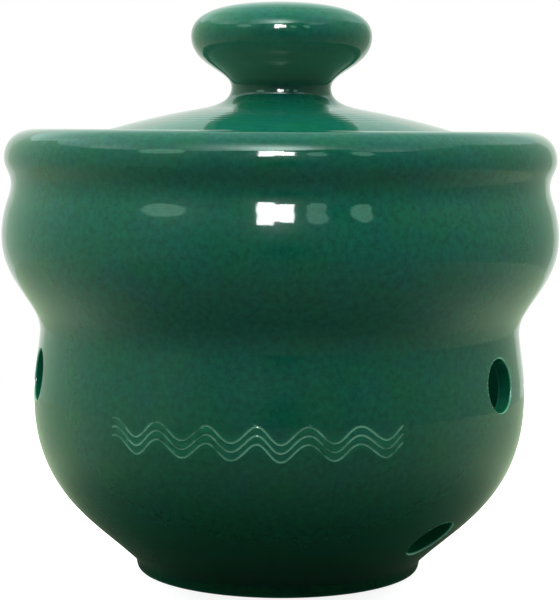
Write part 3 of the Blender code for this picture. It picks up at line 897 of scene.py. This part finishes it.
def measure(name, description, unit, values):
    """A setting that holds one value or a row of them."""
    options = {"name": name, "description": description, "unit": unit, "precision": 5}
    if len(values) == 1:
        return FloatProperty(default=values[0], **options)
    return FloatVectorProperty(default=values, size=len(values), **options)


def length_setting(name, description, *millimetres):
    return measure(name, description, "LENGTH", [value * MM for value in millimetres])


def angle_setting(name, description, *degrees):
    return measure(name, description, "ROTATION", [math.radians(value) for value in degrees])


def colour_setting(name, description, hex_colour):
    return FloatVectorProperty(name=name, description=description, subtype="COLOR", default=linear(hex_colour))


class GlazeSettings(bpy.types.PropertyGroup):
    green: colour_setting("Green", "The glaze's own green", "#0A5038")
    blue_green: colour_setting("Blue-green", "The broad, bluer clouds in the glaze", "#0A4C42")
    thin_green: colour_setting("Thin glaze", "Where the glaze ran thin over an edge", "#14664A")
    # Pale for tight edges and grooves, as clay showing through and a painted highlight, and painted light under the
    # lid
    broken_glaze_and_painted_light: colour_setting(
        "Broken glaze", "Where the clay shows through, on the tightest edges, overhangs and grooves", "#6CA58A")
    # These make the glaze darker towards the foot and lighter at the top
    foot_tint: FloatVectorProperty(
        name="Foot tint", description="Multiplies the colour at the foot, where the glaze gathered",
        subtype="COLOR", default=(0.62, 0.62, 0.45))
    foot_height: length_setting("Foot height", "Height up to which the glaze covers all edges", 10)
    darkening_height: length_setting("Run height", "Height above the foot up to which the glaze has gathered", 150)
    top_range: length_setting("Top range", "Heights between which the glaze, which ran down, gets thinner", 192, 216)
    top_gain: FloatProperty(name="Top gain", description="How much lighter the glaze is at the top", default=1.15)
    ripple: length_setting("Ripple", "Height of the broad ripples in the glaze's surface", 0.05)
    clay: colour_setting("Clay", "The bare fired clay", "#C3A888")
    clay_dark: colour_setting("Dark clay", "Grains and stains in the bare clay", "#8E7358")


class PotSettings(bpy.types.PropertyGroup):
    steps: IntProperty(name="Steps", description="Facets round the pot", default=224, min=48)
    outer_row: length_setting("Outer row", "Longest step between rows outside", 1.4)
    inner_row: length_setting("Inner row", "Longest step between rows inside", 2.6)
    unevenness: length_setting("Unevenness", "How far the thrown wall strays inwards", 0.35)
    unevenness_size: length_setting("Unevenness size", "How broad its dents are", 60)
    waist_lift: length_setting("Waist lift", "How far the neck under the rim is moved up", 2)
    waist_range: length_setting("Waist range", "Heights where the lift starts, is whole, starts to end and ends",
                        146, 158, 166, 178)
    wall: length_setting("Wall", "Thickness of the wall", 6.5)
    vent_radius: length_setting("Vent radius", "Radius of a vent's bore", 11)
    vent_lip: length_setting("Vent lip", "Rounding of a vent's edge", 1.3)
    vent_lip_proud: length_setting("Lip start", "How far outside the wall the rounding starts", 0.12)
    vent_steps: IntProperty(name="Vent steps", description="Facets round a vent", default=72, min=16)
    upper_vent_height: length_setting("Upper vents", "Height of the upper row of vents", 87.4)
    upper_vent_angles: angle_setting("Upper vent angles", "Angles round the pot from the front", 59, 172, 285)
    lower_vent_height: length_setting("Lower vents", "Height of the lower row of vents", 23.4)
    lower_vent_angles: angle_setting("Lower vent angles", "Angles round the pot from the front", 49, 165, 282)
    comb_lines: IntProperty(name="Comb lines", description="Grooves that the comb cuts", default=3, min=1)
    comb_height: length_setting("Comb height", "Height of the combed wave", 71.5)
    comb_spacing: length_setting("Comb spacing", "Distance between the comb's teeth", 3.4)
    comb_swing: length_setting("Comb swing", "How far the wave swings up and down", 3.2)
    comb_waves: FloatProperty(name="Comb waves", description="Number of waves", default=6.0)
    comb_angles: angle_setting("Comb angles", "Where the wave starts and ends round the pot", -38, 27)
    groove_width: length_setting("Groove width", "Width of a combed groove", 1.4)
    groove_depth: length_setting("Groove depth", "Depth of a combed groove", 0.16)


class LidSettings(bpy.types.PropertyGroup):
    steps: IntProperty(name="Steps", description="Facets round the lid", default=224, min=48)
    outer_row: length_setting("Outer row", "Longest step between rows outside", 0.9)
    inner_row: length_setting("Inner row", "Longest step between rows underneath", 2.6)
    unevenness: length_setting("Unevenness", "How far the thrown lid strays inwards", 0.3)
    unevenness_size: length_setting("Unevenness size", "How broad its dents are", 45)
    # Painted light: how pale the lid is painted where it looks down, in place of light under the knob
    painted_underside_light: FloatProperty(
        name="Drained", description="Share of the clay that shows through the glaze where the lid looks down",
        subtype="FACTOR", default=0.95, min=0.0, max=1.0)
    ring_depth: length_setting("Ring depth", "Depth of the throwing rings on the dome", 0.07)
    ring_spacing: length_setting("Ring spacing", "Distance between throwing rings", 3.4)
    ring_radii: length_setting("Ring radii", "Inner and outer radius of the ringed band", 33, 58)


class StageSettings(bpy.types.PropertyGroup):
    # The paper's colours are painted shade in front and painted light beside and behind the pot
    paper: colour_setting("Paper", "Colour of the table's paper in front", "#747474")
    paper_lit_beside: colour_setting("Paper beside", "Colour of the table's paper beside and behind the pot", "#DEDEDE")
    paper_glow: FloatProperty(
        name="Paper glow", description="Light added to the paper for the camera, so that it is white",
        default=0.85)
    table_front: colour_setting("Table in front", "The table in front as the glaze mirrors it", "#6E6E6E")
    table_back: colour_setting("Table behind", "The table behind as the glaze mirrors it", "#CBDFBC")
    table_radius: length_setting("Table radius", "Radius of the table", 620)
    fill_power: FloatProperty(
        name="Fill power", description="Power of the lamp inside the pot", unit="POWER", default=0.1)
    fill_radius: length_setting("Fill radius", "Radius of the lamp inside the pot", 30)
    fill_height: length_setting("Fill height", "Height of the lamp inside the pot", 95)
    lens: FloatProperty(name="Lens", description="Focal length", unit="CAMERA", default=110.65)
    camera_place: length_setting("Camera", "Where the camera stands", 0.1, -800, 190.7)
    tilt: angle_setting("Tilt", "How far the camera looks down", 5.27)
    roll: angle_setting("Roll", "How far the camera leans", 0.4)


# Operators


class STORAGEPOT_OT_stage(bpy.types.Operator):
    """Lay the table and set up the room, the windows and the camera"""

    bl_idname = "storage_pot.stage"
    bl_label = "Set Up Stage"

    def execute(self, context):
        settings = context.scene.storage_pot_stage
        shape = bmesh.new()
        bmesh.ops.create_circle(shape, cap_ends=True, segments=TABLE_FACETS, radius=settings.table_radius)
        mesh = bpy.data.meshes.new("table")
        shape.to_mesh(mesh)
        shape.free()
        mesh.transform(Matrix.Translation((0.0, 0.0, -TABLE_GAP)))
        mesh.materials.append(table_material(settings))
        link("table", mesh)
        studio_world()
        for i, pane in enumerate(WINDOW_PANES):
            area_lamp(f"window_{i}", pane, mirrored=True)
        for i, pane in enumerate(FAINT_PANES):
            area_lamp(f"far_window_{i}", pane, mirrored=True, colour=FAINT_TINT, shape="ELLIPSE")
        for i, lamp in enumerate(LAMPS):
            area_lamp(f"lamp_{i}", lamp)
        fill_lamp(settings)
        place_camera(settings)
        context.scene.view_settings.view_transform = "Standard"
        return {"FINISHED"}


class STORAGEPOT_OT_pot(bpy.types.Operator):
    """Turn the pot, bore its vents, comb the belly and glaze it"""

    bl_idname = "storage_pot.pot"
    bl_label = "Make Pot"

    def execute(self, context):
        pot, glaze = context.scene.storage_pot_pot, context.scene.storage_pot_glaze
        green = shared(glossy_green_glaze, glaze)
        curve = smooth_curve(packed_section("pot_body"))
        raise_waist(curve, pot)
        rows = spaced_rows(curve, curve[:, 1].argmax(), pot.inner_row, pot.outer_row)
        upper = vent_cutter("upper_vent_cutter", rows, pot.upper_vent_height, pot)
        lower = vent_cutter("lower_vent_cutter", rows, pot.lower_vent_height, pot)
        vent_row = vent_row_tree()
        cuts = [
            (vent_row, {"Cutter": cutter, "Material": green, **dict(zip(VENT_LABELS, angles))})
            for cutter, angles in ((upper, pot.upper_vent_angles), (lower, pot.lower_vent_angles))
        ]
        comb = {
            "Lines": pot.comb_lines, "Points": COMB_POINTS, "Height": pot.comb_height,
            "Line Spacing": pot.comb_spacing,
            "Swing": pot.comb_swing, "Waves": pot.comb_waves, "From Angle": pot.comb_angles[0],
            "To Angle": pot.comb_angles[1], "Start Radius": BEYOND, "Groove Width": pot.groove_width,
            "Groove Depth": pot.groove_depth, "Seed": COMB_SEED, "Material": green,
        }
        turning = {
            "Steps": pot.steps, "Seed": POT_SEED, "Unevenness": pot.unevenness,
            "Unevenness Size": pot.unevenness_size, "Round Within": ROUND_WITHIN, "Ring Depth": 0.0,
            "Ring Spacing": MM, "Ring Inner Radius": BEYOND, "Ring Outer Radius": BEYOND, "Material": green,
        }
        piece = make_piece("stoneware_pot", "pot_body", rows, turning, (*cuts, (combed_wave_tree(), comb)),
                           (upper, lower))

        def is_bare(centre, normal):
            on_foot = normal.z < -LEVEL and centre.z < BARE_SLICE
            on_seat = normal.z > LEVEL and abs(centre.z - LID_REST_HEIGHT) < BARE_SLICE
            return on_foot or on_seat

        bare_faces(piece.data, is_bare, shared(bare_stoneware, glaze))
        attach(piece, "pot")
        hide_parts("pot_body")
        return {"FINISHED"}


class STORAGEPOT_OT_lid(bpy.types.Operator):
    """Turn the lid with its knob and glaze it"""

    bl_idname = "storage_pot.lid"
    bl_label = "Make Lid"

    def execute(self, context):
        lid, glaze = context.scene.storage_pot_lid, context.scene.storage_pot_glaze
        green = shared(glossy_green_glaze, glaze)
        curve = smooth_curve(packed_section("lid"))
        rows = spaced_rows(curve, curve[:, 1].argmin(), lid.outer_row, lid.inner_row)
        turning = {
            "Steps": lid.steps, "Seed": LID_SEED, "Unevenness": lid.unevenness,
            "Unevenness Size": lid.unevenness_size, "Round Within": ROUND_WITHIN,
            "Ring Depth": lid.ring_depth, "Ring Spacing": lid.ring_spacing,
            "Ring Inner Radius": lid.ring_radii[0], "Ring Outer Radius": lid.ring_radii[1], "Material": green,
        }
        piece = make_piece("stoneware_lid", "lid", rows, turning, painted_underside_light=lid.painted_underside_light)
        rest = LID_REST_HEIGHT + BARE_SLICE
        bare_faces(piece.data, lambda centre, normal: centre.z < rest and normal.z < 0,
                   shared(bare_stoneware, glaze))
        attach(piece, "lid")
        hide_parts("lid")
        return {"FINISHED"}


class STORAGEPOT_PT_panel(bpy.types.Panel):
    bl_idname = "STORAGEPOT_PT_panel"
    bl_label = "Storage Pot"
    bl_space_type = "VIEW_3D"
    bl_region_type = "UI"
    bl_category = "Storage Pot"

    def draw(self, context):
        for operator, group in PARTS:
            box = self.layout.box()
            settings = getattr(context.scene, group)
            for name in settings.bl_rna.properties.keys():
                if name not in ("rna_type", "name"):
                    box.prop(settings, name)
            if operator:
                box.operator(operator)


SETTINGS = (
    ("storage_pot_glaze", GlazeSettings),
    ("storage_pot_pot", PotSettings),
    ("storage_pot_lid", LidSettings),
    ("storage_pot_stage", StageSettings),
)
PARTS = (
    (None, "storage_pot_glaze"),
    ("storage_pot.stage", "storage_pot_stage"),
    ("storage_pot.pot", "storage_pot_pot"),
    ("storage_pot.lid", "storage_pot_lid"),
)
CLASSES = (
    GlazeSettings, PotSettings, LidSettings, StageSettings,
    STORAGEPOT_OT_stage, STORAGEPOT_OT_pot, STORAGEPOT_OT_lid, STORAGEPOT_PT_panel,
)


def register():
    for each in CLASSES:
        bpy.utils.register_class(each)
    for name, group in SETTINGS:
        setattr(bpy.types.Scene, name, PointerProperty(type=group))


def unregister():
    for name, _ in SETTINGS:
        delattr(bpy.types.Scene, name)
    for each in reversed(CLASSES):
        bpy.utils.unregister_class(each)


def main():
    register()
    bpy.ops.storage_pot.stage()
    bpy.ops.storage_pot.pot()
    bpy.ops.storage_pot.lid()


if __name__ == "__main__":
    main()
